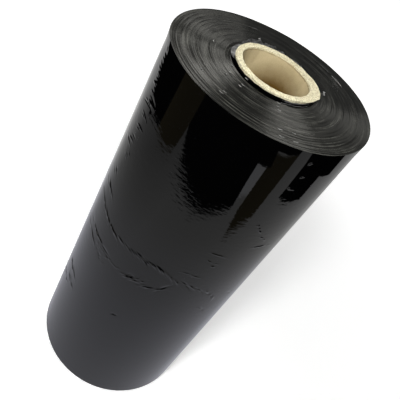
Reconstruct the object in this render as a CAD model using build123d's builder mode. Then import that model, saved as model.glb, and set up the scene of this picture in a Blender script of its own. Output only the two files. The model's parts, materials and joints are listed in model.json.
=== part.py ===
"""Stretch wrap roll: a wide web of film wound on a paper core, standing on its end.

Sizes are in millimetres and angles in degrees.
The origin is on the roll's axis at the foot of the core, and +Z runs up the axis.
"""

import os

from build123d import *

# The core, a paper tube cut a little longer than the film is wide
core_bore = 76.2
core_wall = 6.5
core_proud = 4.5
core_edge_chamfer = 0.6

# The film, wound on the core: the loose end of the web stands off the turn below it
film_width = 508.0
film_diameter = 222.0
tail_step = 0.4

# The innermost turns cling to the core, stand up along it at each end and leave a gap outside them
collar_thickness = 1.8
collar_proud = 2.4
gap_width = 1.8
gap_depth = 3.0

# The edges of the other turns show on each end as rings of uneven height, inside a level rim
ring_pitch = 4.4
ring_crest_drop = 0.3
ring_valley_depth = 0.9
rim_width = 1.6

# Creases part of the way round the outer turns, with heights above the lower end of the film
crease_width = 1.8
crease_depth = 0.5
upper_crease_height = 298.0
upper_crease_start = -150.0
upper_crease_sweep = 118.0
lower_crease_height = 258.0
lower_crease_start = -146.0
lower_crease_sweep = 66.0

# Worked out from the sizes above
core_radius = core_bore / 2 + core_wall
core_length = film_width + 2 * core_proud
film_radius = film_diameter / 2
film_foot = core_proud
film_top = core_proud + film_width
collar_radius = core_radius + collar_thickness
rings_start = collar_radius + gap_width
rings_end = film_radius - rim_width
ring_count = int((rings_end - rings_start) // ring_pitch)
ring_spacing = (rings_end - rings_start) / ring_count

# Multiples of the golden ratio's fraction never repeat, so neighbouring rings differ
GOLDEN_FRACTION = 0.618
LEAST_CREST_DROP = 0.2
LEAST_VALLEY_DEPTH = 0.6


def uneven(ring, least):
    """A share between least and 1 for each ring, with no pattern that the eye picks up."""
    return least + (1 - least) * ((ring * GOLDEN_FRACTION) % 1.0)


def end_profile(end, outward):
    """Half section of what one end of the winding lacks: the gap by the collar and the rings' valleys."""
    clear = end + outward * gap_depth
    points = [
        (collar_radius, clear),
        (collar_radius, end - outward * gap_depth),
        (rings_start, end - outward * gap_depth),
    ]
    for ring in range(ring_count):
        crest = rings_start + ring * ring_spacing
        crest_drop = ring_crest_drop * uneven(ring, LEAST_CREST_DROP)
        valley_depth = ring_valley_depth * uneven(ring + ring_count, LEAST_VALLEY_DEPTH)
        points.append((crest, end - outward * crest_drop))
        points.append((crest + ring_spacing / 2, end - outward * valley_depth))
    points.append((rings_end, end))
    points.append((rings_end, clear))
    return points


def upright_plane(azimuth):
    """The plane through the roll's axis at an azimuth: local x points outward and local y up."""
    return Plane(
        origin=(0, 0, 0),
        x_dir=Vector(1, 0, 0).rotate(Axis.Z, azimuth),
        z_dir=Vector(0, -1, 0).rotate(Axis.Z, azimuth),
    )


# Core tube: the edges of its cut ends are slightly worn down
with BuildPart() as core_tube:
    with BuildSketch():
        Circle(core_radius)
        Circle(core_bore / 2, mode=Mode.SUBTRACT)
    extrude(amount=core_length)
    chamfer(core_tube.edges().filter_by(GeomType.CIRCLE), core_edge_chamfer)

# Film roll: all the turns as one solid, from the core out to the loose end of the web
with BuildPart() as film_roll:
    # The last turn is a spiral about two centres, which ends in a step where the web was cut
    with BuildSketch(Plane.XY.offset(film_foot)):
        with BuildLine():
            first_half = CenterArc((0, 0), film_radius, -90, 180)
            second_half = CenterArc((0, tail_step / 2), film_radius + tail_step / 2, 90, 180)
            Line(first_half @ 1, second_half @ 0)
        make_face()
        Circle(core_radius, mode=Mode.SUBTRACT)
    extrude(amount=film_width)

    # Both ends: rings of turns, and the collar that stands up along the core
    for end, outward in ((film_foot, -1), (film_top, 1)):
        with BuildSketch(Plane.XZ):
            with BuildLine():
                Polyline(*end_profile(end, outward), close=True)
            make_face()
        revolve(axis=Axis.Z, mode=Mode.SUBTRACT)
        with BuildSketch(Plane.XZ):
            with Locations((core_radius + collar_thickness / 2, end)):
                Rectangle(collar_thickness, 2 * collar_proud)
        revolve(axis=Axis.Z)

    # Creases: shallow grooves with sloping sides
    for height, start, sweep in (
        (upper_crease_height, upper_crease_start, upper_crease_sweep),
        (lower_crease_height, lower_crease_start, lower_crease_sweep),
    ):
        with BuildSketch(upright_plane(start)):
            with Locations((film_radius, film_foot + height)):
                Polygon(
                    (-crease_depth, 0),
                    (0, -crease_width / 2),
                    (crease_depth, 0),
                    (0, crease_width / 2),
                    align=None,
                )
        revolve(axis=Axis.Z, revolution_arc=sweep, mode=Mode.SUBTRACT)

os.makedirs("parts", exist_ok=True)
core_tube.part.label = "core_tube"
export_step(core_tube.part, "parts/core_tube.step")
film_roll.part.label = "film_roll"
export_step(film_roll.part, "parts/film_roll.step")
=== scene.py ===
"""The looks of a stretch wrap roll: glossy black film wound on a paper core, standing on a white sheet.

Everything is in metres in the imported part's frame: the origin is on the roll's axis at the foot of the
core and +Z runs up the axis. Azimuths are in degrees from +X towards +Y, and the camera is on the -Y side.
"""

import json
import math
from typing import NamedTuple

import bmesh
import bpy
import numpy as np
from mathutils import Matrix, Vector


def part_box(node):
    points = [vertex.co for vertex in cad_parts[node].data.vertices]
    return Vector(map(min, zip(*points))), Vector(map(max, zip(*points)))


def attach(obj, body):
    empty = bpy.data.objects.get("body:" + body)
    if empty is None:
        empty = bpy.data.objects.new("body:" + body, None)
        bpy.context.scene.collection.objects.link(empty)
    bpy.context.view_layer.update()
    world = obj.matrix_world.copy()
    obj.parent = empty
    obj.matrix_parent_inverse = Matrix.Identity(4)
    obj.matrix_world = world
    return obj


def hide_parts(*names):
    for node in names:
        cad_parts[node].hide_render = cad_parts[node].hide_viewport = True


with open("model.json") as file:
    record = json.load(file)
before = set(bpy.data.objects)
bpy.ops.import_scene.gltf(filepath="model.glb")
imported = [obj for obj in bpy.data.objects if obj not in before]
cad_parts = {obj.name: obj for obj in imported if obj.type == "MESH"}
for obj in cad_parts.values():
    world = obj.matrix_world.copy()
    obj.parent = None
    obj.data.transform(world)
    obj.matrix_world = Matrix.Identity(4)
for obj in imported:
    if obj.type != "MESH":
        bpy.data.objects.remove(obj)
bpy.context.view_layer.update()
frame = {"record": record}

MM = 0.001

# Sizes that the frame gives
_, core_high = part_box("core_tube")
film_low, film_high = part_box("film_roll")
bore_mount = next(m for m in frame["record"]["mounts"] if m["name"] == "core_bore")
BORE_R = bore_mount["dims"]["r_mm"] * MM
CORE_R = core_high.x
CORE_TOP = core_high.z
FILM_R = film_high.x
FILM_TURN = 2.0 * math.pi * FILM_R

# The wound film, as in the part's source
COLLAR_PROUD = 2.4 * MM
COLLAR_THICKNESS = 1.8 * MM
GAP_WIDTH = 1.8 * MM
GAP_DEPTH = 3.0 * MM
TAIL_STEP = 0.4 * MM
TAIL_AZIMUTH = 90.0
FILM_TOP = film_high.z - COLLAR_PROUD
FILM_FOOT = film_low.z + COLLAR_PROUD
RINGS_R = CORE_R + COLLAR_THICKNESS + GAP_WIDTH

# Camera: where it stands, how far it looks down and how far it is turned about its own line of sight
CAMERA_EYE = (0.0056, -0.4691, 0.7165)
CAMERA_DOWN = 39.83
CAMERA_TURN = 33.04
CAMERA_LENS = 44.59
SENSOR_WIDTH = 36.0


def lattice_noise(u, v, cells_u, cells_v, seed):
    """Smooth noise from -1 to 1 over u and v from 0 to 1, which joins up with itself along u."""
    values = np.random.default_rng(seed).uniform(-1.0, 1.0, (cells_u, cells_v + 2))
    x = np.asarray(u) * cells_u
    y = np.clip(np.asarray(v), 0.0, 1.0) * cells_v
    i = np.floor(x).astype(int)
    j = np.floor(y).astype(int)
    a = x - i
    b = y - j
    a = a * a * (3.0 - 2.0 * a)
    b = b * b * (3.0 - 2.0 * b)
    low = values[i % cells_u, j] * (1.0 - a) + values[(i + 1) % cells_u, j] * a
    high = values[i % cells_u, j + 1] * (1.0 - a) + values[(i + 1) % cells_u, j + 1] * a
    return low * (1.0 - b) + high * b


def line_noise(u, cells, seed):
    """The same noise along u alone."""
    return lattice_noise(u, np.zeros_like(u), cells, 1, seed)


def smooth_step(low, high, x):
    """0 below low, 1 above high, and an even curve between them."""
    t = np.clip((np.asarray(x) - low) / (high - low), 0.0, 1.0)
    return t * t * (3.0 - 2.0 * t)


def hump(x, centre, width):
    """A bell of height 1 at the centre."""
    return np.exp(-(((np.asarray(x) - centre) / width) ** 2))


def angle_from(azimuth, centre):
    """Degrees from a centre azimuth, the short way round."""
    return (np.asarray(azimuth) - centre + 180.0) % 360.0 - 180.0


def ring_points(azimuth, radius, height):
    """Points round the axis at azimuths in degrees, with a radius and a height for each or for all."""
    turned = np.radians(azimuth)
    level = np.broadcast_to(height, turned.shape)
    return np.stack([radius * np.cos(turned), radius * np.sin(turned), level], 1)


def band(inner, outer):
    """Quads between two closed rings of as many points."""
    return np.stack((inner, np.roll(inner, -1), np.roll(outer, -1), outer), 1)


# Creases in the film's side: a ridge leans down, so its upper flank is broad and its lower flank is steep.
# It bows a little, and further away than some half lengths and widths it counts for nothing
UPPER_FLANK = 1.4
LOWER_FLANK = 0.65
RIDGE_BOW = 0.08
REACH_HALVES = 3.0
REACH_WIDTHS = 4.0

# What is drawn for each ridge: most are raised and the others are grooves. Its place, length, height and
# width lie between two shares, and it is scattered about the line by shares of the crease's spread
RAISED_SHARE = 0.85
PLACE_SHARES = (0.1, 0.9)
LENGTH_SHARES = (0.6, 1.3)
HEIGHT_SHARES = (0.6, 1.2)
WIDTH_SHARES = (0.75, 1.3)
ARC_SCATTER = 0.4
LEVEL_SCATTER = 0.6
SLANT_SCATTER = 7.0

# How far to either side of a ridge the direction of its line is taken
LINE_REACH = 2.0 * MM


class Crease(NamedTuple):
    """A line of short ridges along points of azimuth in degrees, height in millimetres and strength.

    The ridges' spacing, length, height and width are in millimetres, and so is their spread about the line.
    Their slant is in degrees from the line.
    """

    points: list
    spacing: float
    length: float
    slant: float
    height: float
    width: float
    spread: float
    seed: int

    def ridges(self):
        """Rows of arc, level, direction, half length, ridge height and width, in metres and radians."""
        random = np.random.default_rng(self.seed)
        azimuth, level, strength = np.array(self.points, float).T
        arc = np.radians(azimuth) * FILM_R
        level = level * MM
        along = np.concatenate([[0.0], np.cumsum(np.hypot(np.diff(arc), np.diff(level)))])
        count = max(1, int(along[-1] / (self.spacing * MM)))
        rows = []
        for k in range(count):
            s = along[-1] * (k + random.uniform(*PLACE_SHARES)) / count
            ahead = min(s + LINE_REACH, along[-1])
            behind = max(s - LINE_REACH, 0.0)
            line = math.atan2(
                np.interp(ahead, along, level) - np.interp(behind, along, level),
                np.interp(ahead, along, arc) - np.interp(behind, along, arc),
            )
            sign = 1.0 if random.uniform() < RAISED_SHARE else -1.0
            rows.append((
                np.interp(s, along, arc) + random.normal(0.0, ARC_SCATTER) * self.spread * MM,
                np.interp(s, along, level) + random.normal(0.0, LEVEL_SCATTER) * self.spread * MM,
                line + math.radians(self.slant + random.normal(0.0, SLANT_SCATTER)),
                0.5 * self.length * MM * random.uniform(*LENGTH_SHARES),
                sign * np.interp(s, along, strength) * self.height * MM * random.uniform(*HEIGHT_SHARES),
                self.width * MM * random.uniform(*WIDTH_SHARES),
            ))
        return rows


CREASES = [
    # The long crease round the middle, from left to right
    Crease([(-152, 309, 0.6), (-142, 307, 0.9), (-136, 304.5, 1.0)], 9.0, 14.0, -3.0, 0.52, 1.05, 0.6, 1),
    Crease([(-137, 305, 1.0), (-130, 302, 1.0), (-124, 299, 1.0), (-117, 297, 0.8)],
           6.0, 11.0, -13.0, 0.74, 1.10, 0.9, 2),
    Crease([(-118, 298, 0.8), (-109, 300.5, 0.8), (-100, 302, 0.9)], 4.4, 9.0, -24.0, 0.56, 0.92, 0.6, 3),
    Crease([(-101, 302, 0.8), (-93, 303, 0.9), (-86, 304, 1.0), (-79, 301, 1.0), (-72, 295, 0.9)],
           4.3, 9.5, -31.0, 0.66, 1.00, 0.5, 4),
    Crease([(-69, 297, 0.9), (-63, 294, 1.0), (-57, 292, 0.7)], 4.8, 12.0, -20.0, 0.66, 0.98, 1.2, 5),
    Crease([(-58, 292, 0.7), (-51, 286, 0.7), (-46, 278, 1.0), (-42, 270, 0.9)],
           5.0, 8.5, -16.0, 0.92, 0.95, 1.2, 6),
    # The lower crease, which curves up towards the long one
    Crease([(-146, 264, 0.4), (-133, 265, 1.0), (-117, 264.5, 0.9)], 8.5, 15.0, 1.0, 0.72, 1.05, 0.5, 7),
    Crease([(-117, 261, 0.8), (-108, 259, 0.8), (-99, 262, 0.9)], 5.0, 5.5, 24.0, 0.44, 0.90, 1.6, 8),
    Crease([(-100, 261, 0.8), (-91, 263, 1.0), (-83, 267, 1.0)], 4.6, 10.0, 24.0, 0.64, 0.95, 0.9, 9),
    Crease([(-84, 265, 1.0), (-79, 271, 1.0), (-75, 284, 0.6)], 9.0, 16.0, 4.0, 0.74, 1.05, 0.3, 10),
    # A third one below them on the left
    Crease([(-150, 249, 0.6), (-141, 252, 1.0), (-129, 249, 0.8)], 8.5, 16.0, -2.0, 0.62, 1.05, 0.8, 11),
    Crease([(-127, 250, 1.0), (-117, 243, 0.7)], 4.0, 4.5, 60.0, 0.42, 1.00, 2.6, 12),
    # Short wrinkles near the left edge of the side that the camera sees
    Crease([(-145, 445, 1.0), (-138, 458, 0.9)], 4.5, 17.0, -39.0, 0.46, 0.90, 1.2, 13),
    Crease([(-141, 434, 0.9), (-138.5, 440, 1.0)], 3.8, 12.0, -44.0, 0.44, 0.85, 1.2, 29),
    Crease([(-142, 416, 0.9), (-138.5, 425, 1.0)], 3.7, 14.0, -40.0, 0.46, 0.85, 1.2, 31),
    Crease([(-146, 393, 1.0), (-141, 407, 0.9)], 4.2, 13.0, -48.0, 0.46, 0.85, 1.2, 32),
    Crease([(-141, 379, 0.9), (-137.5, 389, 0.8)], 4.0, 9.0, -62.0, 0.44, 0.85, 1.2, 33),
    Crease([(-147, 345, 0.9), (-142, 354, 0.9)], 4.4, 12.0, -44.0, 0.44, 0.85, 1.2, 39),
    Crease([(-148.5, 505, 0.8), (-147, 485, 1.0), (-143, 462, 1.0)], 2.6, 6.0, 84.0, 0.26, 0.80, 3.0, 30),
    Crease([(-146, 332, 1.0), (-136, 327, 0.9)], 8.0, 14.0, -2.0, 0.66, 1.05, 0.8, 14),
    Crease([(-165, 314, 0.7), (-152, 321, 0.8), (-146, 324, 0.6)], 9.0, 12.0, 2.0, 0.40, 1.00, 1.0, 15),
    Crease([(-150, 162, 1.0), (-136, 163, 0.9)], 5.0, 13.0, -4.0, 0.64, 0.95, 1.6, 16),
    Crease([(-145, 150, 1.0), (-130, 146, 0.9)], 4.6, 9.0, -12.0, 0.56, 0.95, 2.6, 17),
    Crease([(-160, 117, 0.9), (-150, 127, 1.0), (-141, 131, 0.9)], 5.4, 12.0, 6.0, 0.62, 1.00, 1.8, 18),
    # Fine wrinkles beside the lower crease
    Crease([(-99, 267, 0.8), (-87, 271, 0.9)], 3.8, 5.5, 32.0, 0.40, 0.80, 1.0, 34),
    Crease([(-129, 256, 0.9), (-115, 256.5, 0.8)], 4.2, 6.0, 36.0, 0.42, 0.85, 1.6, 35),
    # Nicks that catch the light on the upper right
    Crease([(-51.6, 500, 1.0), (-49.6, 501, 0.9)], 3.4, 4.5, 24.0, 0.46, 0.85, 0.6, 36),
    Crease([(-50.6, 483, 1.0), (-49.2, 483, 0.9)], 3.0, 4.0, 20.0, 0.46, 0.85, 0.5, 37),
    Crease([(-53.0, 468, 0.9), (-49.5, 465, 0.9)], 3.6, 4.5, 18.0, 0.36, 0.85, 0.8, 38),
    # A nick low in the middle
    Crease([(-95, 186, 1.0), (-91.5, 187.5, 0.9)], 3.2, 5.0, 18.0, 0.66, 0.85, 0.4, 19),
    # Short wrinkles near the right edge of the side that the camera sees
    Crease([(-53.5, 412, 1.0), (-48.5, 402, 1.0)], 4.2, 7.0, 16.0, 0.62, 0.95, 1.0, 20),
    Crease([(-45, 393, 0.8), (-41, 387, 0.8)], 4.2, 7.0, 14.0, 0.44, 0.85, 1.0, 21),
    Crease([(-43, 376, 0.8), (-30, 374, 1.0)], 7.0, 11.0, 0.0, 0.44, 0.90, 1.0, 22),
    Crease([(-65, 359, 1.0), (-57.5, 356, 0.9)], 6.0, 12.0, -2.0, 0.36, 0.85, 0.8, 23),
    Crease([(-65, 345, 0.8), (-57.5, 342, 0.8)], 7.0, 9.0, -2.0, 0.24, 0.90, 0.8, 24),
    Crease([(-60.5, 338, 1.0), (-57, 337, 0.9)], 4.5, 6.0, 8.0, 0.38, 0.85, 0.6, 25),
    Crease([(-72, 315.5, 0.8), (-62.5, 313, 1.0)], 8.0, 14.0, -2.0, 0.38, 0.85, 0.5, 26),
    Crease([(-48, 251, 1.0), (-42.5, 246, 0.9)], 4.4, 8.0, -8.0, 1.10, 1.00, 1.0, 27),
    Crease([(-34, 278, 0.8), (-21, 270, 0.6)], 7.0, 10.0, -10.0, 0.40, 1.00, 1.0, 28),
]
RIDGES = [ridge for crease in CREASES for ridge in crease.ridges()]

# Two small blisters on the long crease, which catch the light: azimuth, height, size and rise
BLISTERS = [(-124.4, 299.6, 1.00, 1.00), (-90.2, 303.8, 0.95, 0.95)]
for blister_azimuth, blister_level, size, rise in BLISTERS:
    blister_arc = math.radians(blister_azimuth) * FILM_R
    RIDGES.append((blister_arc, blister_level * MM, 0.0, size * MM, rise * MM, size * MM))


def along_ridge(du, dv, direction):
    """Distances along a ridge and across it."""
    along = du * math.cos(direction) + dv * math.sin(direction)
    return along, dv * math.cos(direction) - du * math.sin(direction)


def ridge_relief(arc, level):
    """How far the ridges of all creases raise the side, at an arc length from azimuth 0 and a height."""
    raised = np.zeros_like(arc)
    for u, v, direction, half, height, width in RIDGES:
        du = (arc - u + FILM_TURN / 2.0) % FILM_TURN - FILM_TURN / 2.0
        dv = level - v
        reach = REACH_HALVES * half + REACH_WIDTHS * width
        near = (np.abs(du) < reach) & (np.abs(dv) < reach)
        if not near.any():
            continue
        along, across = along_ridge(du[near], dv[near], direction)
        across = across + RIDGE_BOW * along * along / half
        flank = width * np.where(across > 0.0, UPPER_FLANK, LOWER_FLANK)
        raised[near] += height * np.exp(-((along / half) ** 2) - (across / flank) ** 2)
    return raised


# The side's slack and the wrinkles that run round it: heights, and noise as cells round, cells up and a seed
SLACK_HEIGHT = 0.030 * MM
SLACK_NOISE = (16, 11, 21)
WRINKLE_HEIGHT = 0.006 * MM
WRINKLE_NOISE = (40, 30, 22)


def wall_relief(azimuth, level):
    """Relief of the film's side: slack, wrinkles that run round the roll, and the creases."""
    u = (azimuth - TAIL_AZIMUTH) / 360.0
    v = (level - FILM_FOOT) / (FILM_TOP - FILM_FOOT)
    slack = SLACK_HEIGHT * lattice_noise(u, v, *SLACK_NOISE)
    wrinkles = WRINKLE_HEIGHT * lattice_noise(u, v, *WRINKLE_NOISE)
    return slack + wrinkles + ridge_relief(np.radians(azimuth) * FILM_R, level)


def tail_lift(azimuth):
    """The last turn of the spiral: highest at the loose end, and level with the turn below one turn on."""
    return TAIL_STEP * (1.0 - (azimuth - TAIL_AZIMUTH) / 360.0)


# Mesh of the film: columns round its side and rows up it, and rings across its ends
WALL_COLUMNS = 120
WALL_ROWS = 80
RING_ROWS = 118
FOOT_RING_ROWS = 20

# Cuts round the side and up it in each pass beside the ridges, and the half lengths and widths they reach
REFINE_PASSES = [(5, 5), (1, 0), (0, 2)]
REFINE_HALVES = 1.5
REFINE_WIDTHS = 2.3

# The strips of an end by the core, which are gloss film like the side
GAP_STRIPS = 7

# The film's materials by number
GLOSS, EDGE, TORN_SHEEN, FRAYED_SHEEN, FLECK_GLINT = range(5)


def refine(sheet, cuts, in_u, spare_u, spare_v):
    """Divides the quads of a flat sheet that lie on or beside a ridge, along u or along v."""
    start = math.radians(TAIL_AZIMUTH) * FILM_R
    quads = [face for face in sheet.faces if len(face.verts) == 4]
    centres = np.array([face.calc_center_median()[:2] for face in quads])
    chosen = np.zeros(len(quads), bool)
    for u, v, direction, half, _, width in RIDGES:
        du = centres[:, 0] - (u - start) % FILM_TURN
        dv = centres[:, 1] - v
        along, across = np.abs(along_ridge(du, dv, direction))
        chosen |= (along < REFINE_HALVES * half + spare_u) & (across < REFINE_WIDTHS * width + spare_v)
    edges = {}
    for face, near in zip(quads, chosen):
        if not near:
            continue
        for edge in face.edges:
            step = edge.verts[1].co - edge.verts[0].co
            if (abs(step.x) > abs(step.y)) == in_u:
                edges[edge] = True
    bmesh.ops.subdivide_edges(sheet, edges=list(edges), cuts=cuts, use_grid_fill=True)


def flat_wall():
    """The side as a flat sheet of arc length and height, finer beside the creases: points and faces."""
    sheet = bmesh.new()
    columns = np.linspace(0.0, FILM_TURN, WALL_COLUMNS + 1)
    rows = np.linspace(FILM_FOOT, FILM_TOP, WALL_ROWS + 1)
    points = [[sheet.verts.new((x, y, 0.0)) for x in columns] for y in rows]
    for j in range(WALL_ROWS):
        for i in range(WALL_COLUMNS):
            sheet.faces.new((points[j][i], points[j][i + 1], points[j + 1][i + 1], points[j + 1][i]))
    spare_u = 0.5 * columns[1]
    spare_v = 0.5 * (rows[1] - rows[0])
    for cuts_u, cuts_v in REFINE_PASSES:
        if cuts_u:
            refine(sheet, cuts_u, True, spare_u, spare_v)
            spare_u /= cuts_u + 1
        if cuts_v:
            refine(sheet, cuts_v, False, spare_u, spare_v)
            spare_v /= cuts_v + 1
    sheet.verts.index_update()
    flat = np.array([v.co[:2] for v in sheet.verts])
    faces = [[v.index for v in f.verts] for f in sheet.faces]
    sheet.free()
    return flat, faces


def by_azimuth(table, azimuth):
    """What a table of azimuths in degrees and lengths in millimetres gives at any azimuth, in metres."""
    corners, lengths = np.array(table).T
    return np.interp(azimuth, corners, lengths, period=360.0) * MM


# How far the core's cut rim is pressed outward, by azimuth: it is widest on the right, where its plies part
RIM_SPREAD = [
    (-176, 0.6), (-150, 1.2), (-125, 0.5), (-88, 0.7), (-60, 0.2), (-40, 0.5), (-24, 2.0), (-6, 4.6),
    (3, 5.9), (16, 4.9), (34, 4.6), (44, 2.9), (53, 1.2), (64, 2.0), (78, 1.0), (94, 1.6),
    (118, 0.5), (142, 0.9), (164, 0.4),
]

# How far the rim stands above the part's, how its outer edge is rounded and where above the film it flares
RIM_RISE = 0.8 * MM
OUTER_ROUND = 0.8 * MM
FLARE_START = 1.2 * MM
SHOULDER = CORE_TOP + RIM_RISE - OUTER_ROUND


def rim_flare(azimuth, rise):
    """How far the core's outside is pressed outward at a rise above the film's end."""
    share = (rise - FLARE_START) / (SHOULDER - FILM_TOP - FLARE_START)
    return by_azimuth(RIM_SPREAD, azimuth) * np.clip(share, 0.0, 1.0)


# The innermost turns' height and thickness as shares of the part's collar, which drift round the roll
COLLAR_HEIGHT_SHARE = 0.62
COLLAR_HEIGHT_DRIFT = 0.2
COLLAR_THICKNESS_SHARE = 0.55
COLLAR_THICKNESS_DRIFT = 0.15
COLLAR_DRIFT_NOISE = (14, 32)

# Their ragged edge
COLLAR_RAGGED = 0.25 * MM
COLLAR_RAGGED_NOISE = (48, 31)

# They stand higher on the near side, between two angles from its middle: none at the first, all at the second
NEAR_COLLAR_AZIMUTH = -108.0
NEAR_COLLAR_FADE = (70.0, 30.0)
NEAR_COLLAR_RISE = 1.3 * MM


def collar_shape(azimuth):
    """Height and thickness of the innermost turns, which stand up along the core."""
    u = (azimuth % 360.0) / 360.0
    ragged = line_noise(u, *COLLAR_RAGGED_NOISE)
    drift = line_noise(u, *COLLAR_DRIFT_NOISE)
    near = smooth_step(*NEAR_COLLAR_FADE, np.abs(angle_from(azimuth, NEAR_COLLAR_AZIMUTH)))
    height = COLLAR_PROUD * (COLLAR_HEIGHT_SHARE + COLLAR_HEIGHT_DRIFT * drift)
    height = height + COLLAR_RAGGED * ragged + NEAR_COLLAR_RISE * near
    thickness = COLLAR_THICKNESS * (COLLAR_THICKNESS_SHARE + COLLAR_THICKNESS_DRIFT * drift)
    return height, thickness


# How far the film's top edge is pressed outward into a lip, by azimuth: most on the right and at the back.
# It rises by a share of that, less a small drop, and the lip reaches in across the end and down the side
TOP_LIP = [
    (-164, 0.8), (-156, 1.3), (-148, 1.0), (-138, 0.0), (-26, 0.0), (-16, 0.5), (-8, 0.8), (0, 1.2),
    (8, 1.7), (16, 2.1), (24, 2.6), (34, 2.9), (46, 2.6), (58, 2.2), (72, 1.7), (88, 1.1), (100, 0.5),
    (110, 0.0), (168, 0.0), (184, 0.3),
]
LIP_RISE = 0.36
LIP_REACH = 24.0 * MM
LIP_HEIGHT = 14.0 * MM
EDGE_DROP = 0.1 * MM

# The end's waves, from broad to fine: a height, and noise cells round the roll and across the rings
RING_WAVES = [(0.05 * MM, 3, 7), (0.025 * MM, 4, 26), (0.02 * MM, 6, 62)]

# A stretch of seam that is pressed in near the gap, and fades out between two angles from its middle
SEAM_R = RINGS_R + 3.6 * MM
SEAM_WIDTH = 1.3 * MM
SEAM_DEPTH = 1.1 * MM
SEAM_AZIMUTH = 184.0
SEAM_FADE = (32.0, 14.0)

# How low the end lies
END_DROP = 0.25 * MM


def ring_relief(radius, azimuth, seed):
    """Relief of the film's end: the uneven edges of the turns, each a little different round the roll."""
    u = (azimuth % 360.0) / 360.0
    v = (radius - RINGS_R) / (FILM_R - RINGS_R)
    relief = np.zeros_like(azimuth)
    for k, (height, cells_u, cells_v) in enumerate(RING_WAVES):
        relief = relief + height * lattice_noise(u, v, cells_u, cells_v, seed + k)
    beside_seam = smooth_step(*SEAM_FADE, np.abs(angle_from(azimuth, SEAM_AZIMUTH)))
    seam = SEAM_DEPTH * hump(radius, SEAM_R, SEAM_WIDTH) * beside_seam
    return relief - seam - END_DROP


# The section of an end by the core: the collar's inner edge as a share of its height, its top as shares of
# its thickness and height, and its foot
COLLAR_INNER = 0.9
COLLAR_TOP = [(0.25, 1.0), (0.75, 1.0), (1.0, 0.9)]
COLLAR_FOOT = 0.3

# The slope of the gap's outer wall, and how far in from the film's edge the rings end
GAP_SLOPE = 0.3 * MM
EDGE_INSET = 0.5 * MM


def end_rows(azimuth, end, outward, ring_rows, seed):
    """Rings of points across one end, from the core outward: lists of radius and height by azimuth."""
    ones = np.ones_like(azimuth)
    height, thickness = collar_shape(azimuth)
    is_top = outward > 0
    flare = rim_flare(azimuth, height) if is_top else 0.0
    lip = by_azimuth(TOP_LIP, azimuth) if is_top else 0.0
    gap_floor = end - outward * GAP_DEPTH * ones
    rows = [(CORE_R * ones, end + outward * COLLAR_INNER * height)]
    for share, lift in COLLAR_TOP:
        rows.append((CORE_R + flare + thickness * share, end + outward * height * lift))
    rows.append((CORE_R + thickness, end + outward * height * COLLAR_FOOT))
    rows.append((CORE_R + thickness, gap_floor))
    rows.append((RINGS_R - GAP_SLOPE * ones, gap_floor))
    rows.append((RINGS_R * ones, end - outward * 0.5 * GAP_DEPTH * ones))
    for k in range(ring_rows + 1):
        radius = RINGS_R + (FILM_R - EDGE_INSET - RINGS_R) * k / ring_rows
        relief = ring_relief(radius, azimuth, seed)
        spread = lip * smooth_step(FILM_R - LIP_REACH, FILM_R, radius)
        rows.append((radius * ones + spread, end + outward * (relief + LIP_RISE * spread)))
    return rows


# Torn film on the top end: its thickness, its rows across, and the degrees between its points along
FLAP_THICKNESS = 0.25 * MM
FLAP_ROWS = 5
FLAP_STEP = 0.7
FEWEST_POINTS = 7

# Its ragged edge: degrees to a cell of noise along it, and cells across it
RAGGED_STEP = 4.0
FEWEST_CELLS = 4
BULGE_CELLS = 3

# Its tips: the share of its length that is cut off, and how blunt they are
TIP_SHARE = 0.01
TIP_POWER = 0.5

# The first strip's seed
FLAP_SEED = 200


class Flap(NamedTuple):
    """A thin torn strip between two azimuths in degrees, which narrows to a tip at both.

    Its foot and its edge are each a radius and a rise above the film's end, in millimetres. Ragged is the
    share by which its edge comes and goes, and crumple is how far it bulges, in millimetres.
    """

    start: float
    end: float
    foot: tuple
    edge: tuple
    ragged: float = 0.10
    crumple: float = 0.1

    def mesh(self, seed):
        """Points and faces of a closed strip: the front of its section, then the back, from tip to tip."""
        span = self.end - self.start
        count = max(FEWEST_POINTS, int(span / FLAP_STEP))
        t = np.linspace(TIP_SHARE, 1.0 - TIP_SHARE, count)
        cells = max(FEWEST_CELLS, int(span / RAGGED_STEP))
        reach = np.sin(math.pi * t) ** TIP_POWER * (1.0 + self.ragged * line_noise(t, cells, seed))
        deep = self.edge[0] - self.foot[0]
        tall = self.edge[1] - self.foot[1]
        across = math.hypot(deep, tall)
        front = []
        back = []
        for share in np.linspace(0.0, 1.0, FLAP_ROWS):
            folds = lattice_noise(t, np.full_like(t, share), cells, BULGE_CELLS, seed + 1)
            bulge = self.crumple * share * folds
            radius = (self.foot[0] + deep * share * reach - bulge * tall / across) * MM
            rise = (self.foot[1] + tall * share * reach + bulge * deep / across) * MM
            front.append((radius, rise))
            back.append((radius + FLAP_THICKNESS * tall / across, rise - FLAP_THICKNESS * deep / across))
        azimuth = self.start + span * t
        loop = front + back[::-1]
        points = np.concatenate([ring_points(azimuth, radius, FILM_TOP + rise) for radius, rise in loop])
        index = np.arange(len(points)).reshape(len(loop), count)
        after = np.roll(index, -1, axis=0)
        quads = np.stack((index[:, :-1], index[:, 1:], after[:, 1:], after[:, :-1]), 2).reshape(-1, 4)
        faces = [tuple(q) for q in quads]
        faces += [tuple(index[:, 0]), tuple(index[::-1, -1])]
        return points, faces


# The innermost film, pulled out into a crescent on the left, two turns that stand up along the core on the
# near side, and a curled tag on the right
WISPS = [
    Flap(156, 210, (44.9, 2.6), (50.0, 1.3), 0.03, 0.06),
    Flap(-71, -17, (45.3, 0.4), (46.0, 3.0), 0.20, 0.10),
    Flap(-66, -24, (46.9, 0.0), (48.2, 1.8), 0.30, 0.20),
    Flap(24, 28, (58.8, 0.1), (60.6, 0.7), 0.20, 0.3),
]

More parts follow.
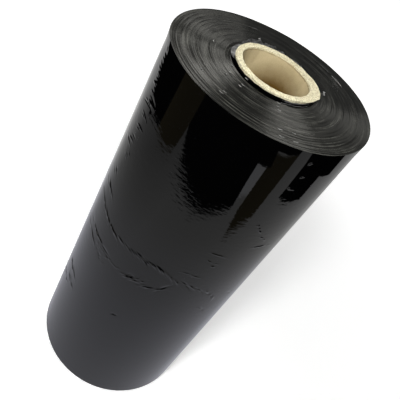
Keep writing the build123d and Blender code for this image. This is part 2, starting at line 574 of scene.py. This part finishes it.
# The innermost film on the far side, torn into dark wisps
FAR_WISPS = [
    Flap(88, 126, (46.8, 1.0), (49.2, 6.2), 0.28, 0.5),
    Flap(104, 163, (46.2, 1.0), (51.0, 5.6), 0.20, 0.5),
    Flap(60, 94, (47.6, 0.6), (49.6, 4.4), 0.30, 0.4),
    Flap(120, 148, (48.6, 0.6), (56.0, 2.4), 0.35, 0.6),
    Flap(92, 122, (49.0, 0.4), (58.5, 1.8), 0.45, 0.6),
    Flap(58.5, 72, (98.3, 0.02), (98.8, 0.24), 0.30, 0.05),
    Flap(119, 127, (89.0, 0.0), (89.8, 0.25), 0.30, 0.10),
]

# Flecks that lie flat on the near half of the end, mostly painted glints: two azimuths, two radii and the
# rise of the outer edge
FLAT_FLECKS_AND_GLINTS = [
    (-140, -136.5, 49.6, 51.6, 0.8),
    (-127.5, -124.5, 58.0, 60.0, 0.7),
    (-125.5, -122.5, 65.8, 67.2, 0.5),
    (-129.5, -126, 90.8, 92.0, 0.4),
    (-111, -107, 57.4, 59.0, 0.5),
    (-110.5, -107, 62.6, 63.8, 0.4),
    (-109.5, -106.5, 88.4, 89.8, 0.5),
    (-110.5, -107, 92.8, 94.6, 0.5),
    (-70.5, -66.5, 49.4, 50.8, 0.4),
    (-72, -68.5, 55.6, 56.8, 0.4),
    (-71, -68, 61.0, 63.4, 0.5),
    (-72.5, -69, 91.2, 93.2, 0.5),
    (-72, -69, 101.4, 102.8, 0.4),
    (-63, -60.5, 89.6, 90.8, 0.3),
    (-64, -61, 102.0, 103.2, 0.3),
    (-173.5, -170, 68.4, 69.4, 0.3),
]

# All flecks, pale bits of film and painted glints: one by the core, the flat ones, two on the far half, and a
# painted glint there in a thin arc
FLECKS_AND_GLINTS = [
    Flap(-116.5, -112.5, (45.6, 0.8), (48.6, 1.9)),
    *(Flap(start, end, (inner, 0.0), (outer, rise)) for start, end, inner, outer, rise in FLAT_FLECKS_AND_GLINTS),
    Flap(28, 31.5, (60.2, 0.1), (61.6, 1.4), 0.20, 0.3),
    Flap(120, 122.5, (68.0, 0.0), (69.2, 0.4), 0.20, 0.1),
    Flap(45.5, 57.5, (98.3, 0.12), (98.8, 0.34), 0.10, 0.05),
]


def outward_faces(points, faces):
    """The faces of a closed mesh, turned about where they point inward."""
    volume = 0.0
    for face in faces:
        first = points[face[0]]
        for i, j in zip(face[1:-1], face[2:]):
            volume += np.dot(first, np.cross(points[i], points[j]))
    return faces if volume > 0.0 else [face[::-1] for face in faces]


# The loose end sways to and fro up the side, and turns beside it less and less: degrees, noise and fade
SWAY_ANGLE = 1.2
SWAY_NOISE = (1, 9, 41)
SWAY_FADE = (40.0, 4.0)

# How near its edges the side is even
EVEN_EDGE = 6.0 * MM


def wall_points(flat):
    """Points of the film's side, from a flat sheet of arc length and height."""
    azimuth = TAIL_AZIMUTH + np.degrees(flat[:, 0] / FILM_R)
    level = flat[:, 1]
    share = (level - FILM_FOOT) / (FILM_TOP - FILM_FOOT)
    sway = SWAY_ANGLE * lattice_noise(np.zeros_like(share), share, *SWAY_NOISE)
    beside_tail = smooth_step(*SWAY_FADE, np.abs(angle_from(azimuth, TAIL_AZIMUTH)))
    edge = smooth_step(EVEN_EDGE, 0.0, np.minimum(level - FILM_FOOT, FILM_TOP - level))
    near_top = smooth_step(FILM_TOP - LIP_HEIGHT, FILM_TOP, level)
    lip = by_azimuth(TOP_LIP, azimuth) * near_top
    radius = FILM_R + tail_lift(azimuth) + wall_relief(azimuth, level) * (1.0 - edge) + lip
    turned = azimuth + sway * beside_tail * (1.0 - edge)
    return ring_points(turned, radius, level + LIP_RISE * lip - EDGE_DROP * near_top)


# The two ends: height, which way is outward, rings across and seed
ENDS = [(FILM_FOOT, -1, FOOT_RING_ROWS, 61), (FILM_TOP, 1, RING_ROWS, 51)]


def film_mesh():
    """The wound film and the torn strips on its end: points, faces and the material of each face."""
    flat, faces = flat_wall()
    points = [wall_points(flat)]
    columns = WALL_COLUMNS + 1
    foot_row = np.arange(columns)
    top_row = foot_row + WALL_ROWS * columns
    left = np.arange(WALL_ROWS + 1) * columns
    right = left + WALL_COLUMNS
    faces += [(right[j], left[j], left[j + 1], right[j + 1]) for j in range(WALL_ROWS)]
    kinds = [GLOSS] * len(faces)

    around = TAIL_AZIMUTH + 360.0 * np.arange(WALL_COLUMNS) / WALL_COLUMNS
    start = len(flat)
    inner_rings = []
    for (end, outward, ring_rows, seed), border in zip(ENDS, (foot_row, top_row)):
        rings = []
        for radius, height in end_rows(around, end, outward, ring_rows, seed):
            points.append(ring_points(around, radius, height))
            rings.append(start + np.arange(WALL_COLUMNS))
            start += WALL_COLUMNS
        inner_rings.append(rings[0])
        last = rings[-1]
        strips = [band(a, b) for a, b in zip(rings[:-1], rings[1:])]
        strips.append(np.stack((last, np.roll(last, -1), border[1:], border[:-1]), 1))
        for count, quads in enumerate(strips):
            faces += [tuple(q[::-1]) if outward > 0 else tuple(q) for q in quads]
            kinds += [GLOSS if count < GAP_STRIPS else EDGE] * WALL_COLUMNS
        corner = (last[0], border[-1], border[0])
        faces.append(corner if outward > 0 else corner[::-1])
        kinds.append(EDGE)
    faces += [tuple(q[::-1]) for q in band(*inner_rings)]
    kinds += [GLOSS] * WALL_COLUMNS

    # The torn strips carry painted sheen, and the flecks are pale film and painted glints
    flaps = [(TORN_SHEEN, f) for f in WISPS] + [(FRAYED_SHEEN, f) for f in FAR_WISPS] + [(FLECK_GLINT, f) for f in FLECKS_AND_GLINTS]
    for count, (kind, flap) in enumerate(flaps):
        flap_points, flap_faces = flap.mesh(FLAP_SEED + 2 * count)
        faces += [tuple(start + i for i in face) for face in outward_faces(flap_points, flap_faces)]
        kinds += [kind] * len(flap_faces)
        points.append(flap_points)
        start += len(flap_points)
    return np.concatenate(points), faces, kinds


def add_object(name, data):
    """A new object in the scene."""
    item = bpy.data.objects.new(name, data)
    bpy.context.scene.collection.objects.link(item)
    return item


SHARP_ANGLE = 50.0


def object_from(name, points, faces, materials):
    """A smooth-shaded object from points and faces, with sharp edges kept sharp."""
    mesh = bpy.data.meshes.new(name)
    mesh.from_pydata([tuple(p) for p in points], [], [tuple(int(i) for i in f) for f in faces])
    for material in materials:
        mesh.materials.append(material)
    mesh.polygons.foreach_set("use_smooth", [True] * len(mesh.polygons))
    mesh.update()
    mesh.set_sharp_from_angle(angle=math.radians(SHARP_ANGLE))
    return add_object(name, mesh)


# Mesh of the core
CORE_COLUMNS = 240
RIM_ROWS = 10
ROUND_ROWS = 4
BORE_ROWS = 40

# Its section: the round of the mouth, the chamfers of the foot, shares of the rim's flare, and how soon the
# bore is round below its mouth
INNER_ROUND = 0.6 * MM
FOOT_CHAMFER = 0.5 * MM
BORE_CHAMFER = 0.4 * MM
FLARE_SHARES = (0.0, 0.35, 0.75)
SETTLE_POWER = 8

# How the rim's outside, its mouth and its plies are frayed
OUTER_FRAY = 0.35 * MM
OUTER_FRAY_NOISE = (80, 72)
MOUTH_FRAY = 0.25 * MM
MOUTH_FRAY_NOISE = (46, 73)
PLY_HEIGHT = 0.22 * MM
PLY_NOISE = (70, 7, 74)
PLY_DROP = 0.1 * MM


def core_rows(azimuth):
    """Rings of points round the core's section: up the outside, over the rim, down the bore and under."""
    u = (azimuth % 360.0) / 360.0
    ones = np.ones_like(azimuth)
    fray = OUTER_FRAY * line_noise(u, *OUTER_FRAY_NOISE)
    outer = CORE_R + by_azimuth(RIM_SPREAD, azimuth) + fray
    inner = BORE_R + MOUTH_FRAY * line_noise(u, *MOUTH_FRAY_NOISE)
    top = CORE_TOP + RIM_RISE
    rows = [(CORE_R * ones - FOOT_CHAMFER, 0.0 * ones), (CORE_R * ones, FOOT_CHAMFER * ones)]
    foot = FILM_TOP + FLARE_START
    for share in FLARE_SHARES:
        rows.append((CORE_R + (outer - CORE_R) * share, (foot + (SHOULDER - foot) * share) * ones))
    for k in range(ROUND_ROWS):
        turn = 0.5 * math.pi * k / ROUND_ROWS
        height = SHOULDER + OUTER_ROUND * math.sin(turn)
        rows.append((outer - OUTER_ROUND * (1.0 - math.cos(turn)), height * ones))
    flat_outer = outer - OUTER_ROUND
    flat_inner = inner + INNER_ROUND
    for k in range(RIM_ROWS + 1):
        share = k / RIM_ROWS
        plies = PLY_HEIGHT * lattice_noise(u, share * ones, *PLY_NOISE) - PLY_DROP
        rows.append((flat_outer + (flat_inner - flat_outer) * share, top + plies))
    for k in range(1, ROUND_ROWS + 1):
        turn = 0.5 * math.pi * k / ROUND_ROWS
        height = top - INNER_ROUND * (1.0 - math.cos(turn))
        rows.append((inner + INNER_ROUND * (1.0 - math.sin(turn)), height * ones))
    mouth = top - INNER_ROUND
    for k in range(1, BORE_ROWS):
        share = k / BORE_ROWS
        settle = 1.0 - (1.0 - share) ** SETTLE_POWER
        rows.append((inner + (BORE_R - inner) * settle, mouth * (1.0 - share) * ones))
    rows.append((BORE_R * ones + BORE_CHAMFER, 0.0 * ones))
    return rows


def core_mesh():
    """One closed mesh of the paper core."""
    around = 360.0 * np.arange(CORE_COLUMNS) / CORE_COLUMNS
    points = [ring_points(around, radius, height) for radius, height in core_rows(around)]
    rows = len(points)
    faces = []
    for j in range(rows):
        a = j * CORE_COLUMNS + np.arange(CORE_COLUMNS)
        b = ((j + 1) % rows) * CORE_COLUMNS + np.arange(CORE_COLUMNS)
        faces += [tuple(q) for q in band(a, b)]
    return np.concatenate(points), faces


# Materials
class Nodes:
    """The nodes of a new material or world, made and linked by short calls."""

    def __init__(self, name, world=False):
        self.data = bpy.data.worlds.new(name) if world else bpy.data.materials.new(name)
        self.data.use_nodes = True
        self.tree = self.data.node_tree
        self.shader = self.tree.nodes["Background" if world else "Principled BSDF"]

    def add(self, kind, inputs=None, **settings):
        node = self.tree.nodes.new(kind)
        for key, value in settings.items():
            setattr(node, key, value)
        for key, value in (inputs or {}).items():
            self.feed(node.inputs[key], value)
        return node

    def feed(self, socket, value):
        if isinstance(value, bpy.types.NodeSocket):
            self.tree.links.new(value, socket)
        else:
            socket.default_value = value

    def math(self, operation, a, b):
        return self.add("ShaderNodeMath", {0: a, 1: b}, operation=operation).outputs[0]

    def vector(self, operation, a, b=(0.0, 0.0, 0.0)):
        node = self.add("ShaderNodeVectorMath", {0: a, 1: b}, operation=operation)
        return node.outputs["Value" if operation in ("LENGTH", "DOT_PRODUCT") else "Vector"]

    def place(self):
        return self.add("ShaderNodeTexCoord").outputs["Object"]

    def split(self, vector):
        return self.add("ShaderNodeSeparateXYZ", {0: vector}).outputs

    def polar(self, place):
        flat = self.vector("MULTIPLY", place, (1.0, 1.0, 0.0))
        return self.vector("LENGTH", flat), self.vector("NORMALIZE", flat)

    def noise(self, vector, scale, detail, roughness):
        inputs = {"Vector": vector, "Scale": scale, "Detail": detail, "Roughness": roughness}
        return self.add("ShaderNodeTexNoise", inputs).outputs["Fac"]

    def range(self, value, low, high, new_low=0.0, new_high=1.0):
        inputs = {"Value": value, "From Min": low, "From Max": high, "To Min": new_low, "To Max": new_high}
        return self.add("ShaderNodeMapRange", inputs).outputs["Result"]

    def mix(self, factor, a, b):
        inputs = {"Factor": factor, "A": a, "B": b}
        return self.add("ShaderNodeMix", inputs, data_type="RGBA").outputs["Result"]

    def set(self, **sockets):
        for key, value in sockets.items():
            self.feed(self.shader.inputs[key.replace("_", " ")], value)

    def bump(self, height, distance):
        inputs = {"Height": height, "Distance": distance, "Strength": 1.0}
        return self.add("ShaderNodeBump", inputs).outputs["Normal"]


# The film's side, cut edges and flecks; the flecks' pale grey is mostly a painted glint
FILM_IOR = 1.5
FILM_BLACK = (0.0006, 0.0006, 0.0007, 1.0)
EDGE_DARK = (0.008, 0.0081, 0.0070, 1.0)
EDGE_DUST = (0.064, 0.064, 0.056, 1.0)
FLECK_GLINT_GREY = (0.27, 0.27, 0.26, 1.0)

# Hair-fine wrinkles of the side: how they are drawn out, and their depth
HAIR_STRETCH = (1.0, 1.0, 2.8)
HAIR_DEPTH = 0.11 * MM

# The film is drawn tighter near its top edge: how far below it that begins, where it is tightest, and the
# share of the wrinkles that is left there
TAUT_REACH = 80.0 * MM
TAUT_END = 40.0 * MM
TAUT_SHARE = 0.08

# The depth of streaks in torn film
STREAK_DEPTH = 0.2 * MM


def film_gloss():
    """The film's side: almost black, mirror smooth, with hair-fine wrinkles that run round the roll."""
    n = Nodes("film_gloss")
    place = n.place()
    hairs = n.noise(n.vector("MULTIPLY", place, HAIR_STRETCH), 110.0, 2.0, 0.55)
    level = n.split(place)["Z"]
    patches = n.range(n.noise(place, 14.0, 1.0, 0.5), 0.35, 0.65, 0.4, 1.4)
    taut = n.range(level, FILM_TOP - TAUT_REACH, FILM_TOP - TAUT_END, 1.0, TAUT_SHARE)
    slack = n.math("MULTIPLY", patches, taut)
    fine = n.bump(n.math("MULTIPLY", hairs, slack), HAIR_DEPTH)
    n.set(Base_Color=FILM_BLACK, Roughness=0.03, IOR=FILM_IOR, Normal=fine)
    return n.data


def film_edge():
    """The film's ends: the cut edges of the turns, which lean a little outward and shine across the rings."""
    n = Nodes("film_edge")
    place = n.place()
    radius, heading = n.polar(place)
    drift = n.split(heading)

    def rings(per_metre, wander, detail):
        """Noise that changes quickly from turn to turn and slowly round the roll."""
        at = n.add("ShaderNodeCombineXYZ", {
            "X": n.math("MULTIPLY", radius, per_metre),
            "Y": n.math("MULTIPLY", drift["X"], wander),
            "Z": n.math("MULTIPLY", drift["Y"], wander),
        }).outputs[0]
        return n.noise(at, 1.0, detail, 0.6)

    turns = rings(640.0, 1.2, 1.0)
    hairs = rings(2100.0, 3.0, 1.0)
    bands = rings(400.0, 1.3, 1.0)
    lines = rings(700.0, 1.4, 2.0)
    grit = n.noise(place, 1300.0, 2.0, 0.6)
    scuffs = n.noise(place, 95.0, 4.0, 0.65)
    outward = n.math("ADD", n.range(turns, 0.25, 0.75, 0.12, 0.42), n.range(hairs, 0.3, 0.7, -0.05, 0.05))
    lean = n.math("MULTIPLY", outward, n.range(drift["Y"], 0.0, 1.0, 1.0, 0.62))
    normal = n.add("ShaderNodeNewGeometry").outputs["Normal"]
    leaning = n.vector("NORMALIZE", n.vector("ADD", normal, n.vector("MULTIPLY", heading, lean)))
    worn = n.math("MULTIPLY", n.range(scuffs, 0.36, 0.70, 0.3, 1.0), n.range(grit, 0.36, 0.62, 0.5, 1.3))
    laid = n.math("MULTIPLY", worn, n.range(bands, 0.40, 0.60, 0.35, 1.65))
    dusty = n.math("MULTIPLY", n.range(lines, 0.44, 0.62), laid)
    tangent = n.add("ShaderNodeTangent", direction_type="RADIAL", axis="Z").outputs[0]
    n.set(Base_Color=n.mix(dusty, EDGE_DARK, EDGE_DUST), Roughness=n.range(bands, 0.3, 0.7, 0.19, 0.24),
          IOR=FILM_IOR, Anisotropic=0.6, Anisotropic_Rotation=0.25, Tangent=tangent, Normal=leaning)
    return n.data


def film_torn_sheen(name, dark, pale):
    """Torn film, grey and uneven between a dark and a pale tone: the pale streaks are painted sheen of the
    bright room reflected in thin film.
    """
    n = Nodes(name)
    streaks = n.noise(n.place(), 240.0, 2.0, 0.5)
    colour = n.mix(n.range(streaks, 0.38, 0.62), (dark, dark, dark, 1.0), (pale, pale, pale, 1.0))
    n.set(Base_Color=colour, Roughness=0.3, IOR=FILM_IOR, Normal=n.bump(streaks, STREAK_DEPTH))
    return n.data


def film_fleck_glint():
    """Pale grey flecks of film, most of them painted glints where the cut edges catch the light."""
    n = Nodes("film_fleck_glint")
    n.set(Base_Color=FLECK_GLINT_GREY, Roughness=0.35, IOR=FILM_IOR)
    return n.data


# Paperboard: the cut end's two tones, the bore's two tones, the brown of the painted shade deep in the bore,
# and the brown below its mouth
BOARD_TAN = (0.51, 0.435, 0.255, 1.0)
BOARD_PALE = (0.90, 0.85, 0.62, 1.0)
BORE_TAN = (0.56, 0.46, 0.265, 1.0)
BORE_PALE = (0.66, 0.555, 0.335, 1.0)
PAINTED_SHADE_BROWN = (0.12, 0.068, 0.016, 1.0)
LIP_BROWN = (0.20, 0.14, 0.06, 1.0)

# Where the cut end gives way to the bore, as depths below the core's top and distances out from the bore, and
# where the brown edge below it is
CUT_FADE = (1.6 * MM, 1.1 * MM)
OUTSIDE_FADE = (1.0 * MM, 2.0 * MM)
LIP_FADE = (3.2 * MM, 2.0 * MM)
LIP_STRENGTH = 0.7

# How far those borders waver and the painted shade's border does, and the depth of the fibres
WAVER = 0.4 * MM
SHADE_WAVER = 1.5 * MM
FIBRE_DEPTH = 0.16 * MM

# Where the painted shade in the bore is: the azimuth it faces, how far it fades to the sides, and its depths
SHADE_AZIMUTH = math.radians(74.0)
SHADE_HEADING = (math.cos(SHADE_AZIMUTH), math.sin(SHADE_AZIMUTH), 0.0)
SHADE_REACH = 42.0 * MM
SHADE_START = -3.0 * MM
SHADE_END = 31.0 * MM


def core_board():
    """Wound paperboard: a pale cut end with loose fibres, and a bore with painted shade that is browner the
    deeper it goes.
    """
    n = Nodes("core_board")
    place = n.place()
    level = n.split(place)["Z"]
    radius, heading = n.polar(place)
    fibres = n.noise(place, 900.0, 5.0, 0.65)
    mottle = n.noise(place, 160.0, 3.0, 0.6)
    specks = n.noise(place, 640.0, 4.0, 0.7)
    wavy = n.math("ADD", level, n.range(mottle, 0.3, 0.7, -WAVER, WAVER))

    def above(depths):
        """0 below the first of two depths under the core's top and 1 above the second."""
        return n.range(wavy, CORE_TOP - depths[0], CORE_TOP - depths[1])

    outside = n.range(radius, BORE_R + OUTSIDE_FADE[0], BORE_R + OUTSIDE_FADE[1])
    rim = n.math("MAXIMUM", above(CUT_FADE), outside)
    lip = n.math("MULTIPLY", above(LIP_FADE), n.range(mottle, 0.35, 0.6, 0.2, 1.0))
    # Painted shade: the bore turns brown deeper down and on the wall at the shade's azimuth, standing in for
    # its shadow
    shade_facing = n.vector("DOT_PRODUCT", heading, SHADE_HEADING)
    depth = n.math("SUBTRACT", n.math("MULTIPLY", shade_facing, SHADE_REACH), level)
    blotched = n.math("ADD", depth, n.range(mottle, 0.3, 0.7, -SHADE_WAVER, SHADE_WAVER))
    rim_start = SHADE_REACH - CORE_TOP
    deep = n.range(blotched, rim_start + SHADE_START, rim_start + SHADE_END)
    cut_end = n.mix(n.range(specks, 0.36, 0.60), BOARD_TAN, BOARD_PALE)
    mouth = n.mix(n.range(fibres, 0.3, 0.7), BORE_TAN, BORE_PALE)
    shaded = n.mix(deep, mouth, PAINTED_SHADE_BROWN)
    bore = n.mix(n.math("MULTIPLY", lip, LIP_STRENGTH), shaded, LIP_BROWN)
    n.set(Base_Color=n.mix(rim, bore, cut_end), Roughness=0.9, Specular_IOR_Level=0.2,
          Normal=n.bump(fibres, FIBRE_DEPTH))
    return n.data


# The white sheet: its colour, half its width, and its lift, from one distance to another and as much at each
SHEET_WHITE = (0.86, 0.86, 0.86, 1.0)
FLOOR_HALF = 8.0
FLOOR_LIFT = (0.35, 1.3, 0.535, 0.90)

# Dull surroundings beyond the white sheet, which only the film reflects: how high they lie above the floor
# and above each other, and their colours
CARD_LIFT = 0.5 * MM
CARD_STEP = 0.1 * MM
NO_COLOUR = (0.0, 0.0, 0.0, 1.0)
BLACK = (0.002, 0.002, 0.002)
OLIVE = (0.075, 0.063, 0.036)
GREY = (0.515, 0.52, 0.57)
NEUTRAL = (0.525, 0.525, 0.522)
PALE = (0.78, 0.79, 0.82)

# How the grey card fades to the left, fades and turns neutral away from the roll, and brightens behind on the
# left: each from one place to another in metres, and the share at each
FADE_LEFT = (-0.60, -0.22, 0.54, 1.0)
FADE_AWAY = (0.24, 0.50, 1.0, 0.84)
NEUTRAL_AWAY = (0.24, 0.50, 0.0, 1.0)
BRIGHT_LEFT = (-0.25, -0.10, 1.0, 0.0)
BRIGHT_BEHIND = (0.10, 0.50, 0.0, 1.6)

# Name, colour and outline on the floor
CARDS = [
    ("card_sheet", GREY, [(-4.0, -4.0), (4.0, -4.0), (4.0, 4.0), (-4.0, 4.0)]),
    ("card_gap", PALE, [(0.40, -0.56), (0.47, -0.72), (0.60, -0.645), (0.49, -0.525)]),
    ("card_left", BLACK, [(-0.86, 0.58), (-0.75, 0.28), (-0.76, 0.07), (-0.70, -0.195), (-5.0, -1.0),
                          (-5.0, 3.4)]),
    ("card_front_left", OLIVE, [(-0.70, -0.195), (-0.50, -0.50), (-0.57, -0.60), (-4.0, -4.0), (-5.0, -1.0)]),
    ("card_front", BLACK, [(-0.57, -0.60), (-0.29, -0.585), (-0.12, -0.59), (0.31, -0.53), (0.38, -0.51),
                           (0.47, -0.72), (2.6, -5.0), (-4.0, -4.0)]),
    ("card_strip", OLIVE, [(0.40, -0.36), (0.44, -0.47), (0.65, -0.70), (0.90, -0.44), (0.56, -0.30)]),
    ("card_front_right", BLACK, [(0.47, -0.72), (0.63, -0.60), (0.66, -0.71), (0.90, -0.44), (5.0, -2.2),
                                 (2.6, -5.0)]),
    ("card_right", BLACK, [(0.72, -0.195), (0.74, 0.18), (0.88, 0.24), (0.80, 0.47), (5.0, 3.0),
                           (5.0, -1.2)]),
]


def floor_white():
    """A white sheet that the camera and reflections see a little lifted, so that it stays white far away."""
    n = Nodes("floor_white")
    path = n.add("ShaderNodeLightPath").outputs
    reflected = n.math("MAXIMUM", path["Is Glossy Ray"], path["Is Transmission Ray"])
    seen = n.math("MAXIMUM", path["Is Camera Ray"], reflected)
    away = n.vector("LENGTH", n.place())
    n.set(Base_Color=SHEET_WHITE, Roughness=1.0, Specular_IOR_Level=0.0, Emission_Color=(1.0, 1.0, 1.0, 1.0),
          Emission_Strength=n.math("MULTIPLY", seen, n.range(away, *FLOOR_LIFT)))
    return n.data


def plain_card(name, colour):
    """An even card that only shapes what the film reflects."""
    n = Nodes(name)
    n.set(Base_Color=NO_COLOUR, Specular_IOR_Level=0.0, Emission_Color=(*colour, 1.0), Emission_Strength=1.0)
    return n.data


def fading_card(name):
    """The grey card, which fades and turns neutral away from the roll and is bright behind on the left."""
    n = Nodes(name)
    place = n.place()
    sides = n.split(place)
    away = n.vector("LENGTH", place)
    fade = n.math("MULTIPLY", n.range(sides["X"], *FADE_LEFT), n.range(away, *FADE_AWAY))
    behind = n.math("MULTIPLY", n.range(sides["X"], *BRIGHT_LEFT), n.range(sides["Y"], *BRIGHT_BEHIND))
    tint = n.mix(n.range(away, *NEUTRAL_AWAY), (*GREY, 1.0), (*NEUTRAL, 1.0))
    n.set(Base_Color=NO_COLOUR, Specular_IOR_Level=0.0, Emission_Color=tint,
          Emission_Strength=n.math("MULTIPLY", fade, n.math("ADD", behind, 1.0)))
    return n.data


def flat_piece(name, outline, level, material):
    """A flat face on or just above the floor."""
    item = object_from(name, [(x, y, level) for x, y in outline], [range(len(outline))], [material])
    return item


def make_stage():
    """The white sheet, and the dull cards around it, which only reflections see."""
    far = FLOOR_HALF
    flat_piece("floor", [(-far, -far), (far, -far), (far, far), (-far, far)], 0.0, floor_white())
    for count, (name, colour, outline) in enumerate(CARDS):
        material = fading_card(name) if colour == GREY else plain_card(name, colour)
        card = flat_piece(name, outline, CARD_LIFT + CARD_STEP * count, material)
        card.visible_camera = False
        card.visible_diffuse = False
        card.visible_shadow = False


# Bright panels behind the roll: name, then degrees right of straight behind, up, across and high, and glow
PANELS = [
    ("panel_left_high", -24.0, 44.0, 11.0, 12.0, 3.1),
    ("panel_left", -26.0, 31.0, 9.0, 14.0, 1.15),
    ("panel_left_low", -22.0, 16.0, 9.0, 8.0, 0.66),
    ("panel_left_end", -15.5, 6.0, 10.0, 6.0, 0.26),
    ("panel_right_high", 16.0, 53.5, 9.0, 9.0, 3.4),
    ("panel_right", 22.5, 46.0, 7.0, 10.0, 2.5),
    ("panel_right_low", 23.0, 23.0, 10.0, 34.0, 0.25),
]
PANEL_DISTANCE = 2.0
PANEL_COLOUR = (1.0, 0.985, 0.91)

# Low panels on the camera's side, which only reflections see: degrees round the roll, and the rest as above
FRONT_ASIDES = (120.0, 180.0, 240.0)
FRONT_PANEL = (3.0, 60.0, 14.0, 1.0)

# The room's light on the roll
ROOM_GLOW = 0.05


def lamp(kind, name, place, target, **settings):
    """A lamp at a place, turned to a point."""
    data = bpy.data.lights.new(name, kind)
    for key, value in settings.items():
        setattr(data, key, value)
    item = add_object(name, data)
    item.location = place
    item.rotation_euler = (Vector(target) - item.location).to_track_quat("-Z", "Y").to_euler()
    item.visible_camera = False
    return item


def panel(name, aside, elevation, width, height, glow):
    """A bright panel, placed and sized by angles in degrees as seen from the middle of the roll's top."""
    up = math.radians(elevation)
    level = PANEL_DISTANCE * math.cos(up)
    place = (level * math.sin(math.radians(aside)), level * math.cos(math.radians(aside)),
             FILM_TOP + PANEL_DISTANCE * math.sin(up))
    across = 2.0 * PANEL_DISTANCE * math.tan(math.radians(width / 2.0))
    tall = 2.0 * PANEL_DISTANCE * math.tan(math.radians(height / 2.0))
    return lamp("AREA", name, place, (0.0, 0.0, FILM_TOP), shape="RECTANGLE", size=across, size_y=tall,
                energy=glow * math.pi * across * tall, color=PANEL_COLOUR)


def make_room():
    """White all round for the camera, and a dim room for the roll."""
    n = Nodes("room", world=True)
    seen = n.add("ShaderNodeLightPath").outputs["Is Camera Ray"]
    n.set(Color=(1.0, 1.0, 1.0, 1.0), Strength=n.math("MAXIMUM", seen, ROOM_GLOW))
    bpy.context.scene.world = n.data


def make_lights():
    """Soft light from above, a lamp on the core, panels round the roll, and a lamp beside the camera."""
    ceiling = lamp("SUN", "ceiling", (0.0, 0.0, 2.0), (0.0, 0.0, 0.0), energy=0.25, angle=math.radians(40.0))
    core_lamp = lamp("SPOT", "core_lamp", (0.52, -0.22, 1.02), (0.0, 0.0, CORE_TOP), energy=9.0,
                     spot_size=math.radians(22.0), spot_blend=0.6, shadow_soft_size=0.15)
    for values in PANELS:
        panel(*values)
    for count, aside in enumerate(FRONT_ASIDES):
        glint = panel(f"panel_front_{count}", aside, *FRONT_PANEL)
        glint.visible_diffuse = False
    front_lamp = lamp("AREA", "front_lamp", (-0.18, -0.73, 1.18), (0.0, 0.0, 0.25), energy=11.0,
                      shape="DISK", size=0.20)
    for item in (ceiling, core_lamp, front_lamp):
        item.visible_glossy = False


def make_camera():
    """The camera at the photograph's place."""
    data = bpy.data.cameras.new("camera")
    data.lens = CAMERA_LENS
    data.sensor_width = SENSOR_WIDTH
    item = add_object("camera", data)
    look_down = Matrix.Rotation(math.radians(90.0 - CAMERA_DOWN), 4, "X")
    turn = Matrix.Rotation(math.radians(CAMERA_TURN), 4, "Z")
    item.matrix_world = Matrix.Translation(CAMERA_EYE) @ look_down @ turn
    bpy.context.scene.camera = item


film_points, film_faces, film_kinds = film_mesh()
film_materials = [
    film_gloss(),
    film_edge(),
    film_torn_sheen("film_torn_sheen", dark=0.045, pale=0.22),
    film_torn_sheen("film_frayed_sheen", dark=0.015, pale=0.10),
    film_fleck_glint(),
]
film = object_from("wound_film", film_points, film_faces, film_materials)
film.data.polygons.foreach_set("material_index", film_kinds)
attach(film, "root")
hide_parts("film_roll")

core_points, core_faces = core_mesh()
core = object_from("paper_core", core_points, core_faces, [core_board()])
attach(core, "root")
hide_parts("core_tube")

make_stage()
make_lights()
make_room()
make_camera()
bpy.context.scene.view_settings.view_transform = "Standard"
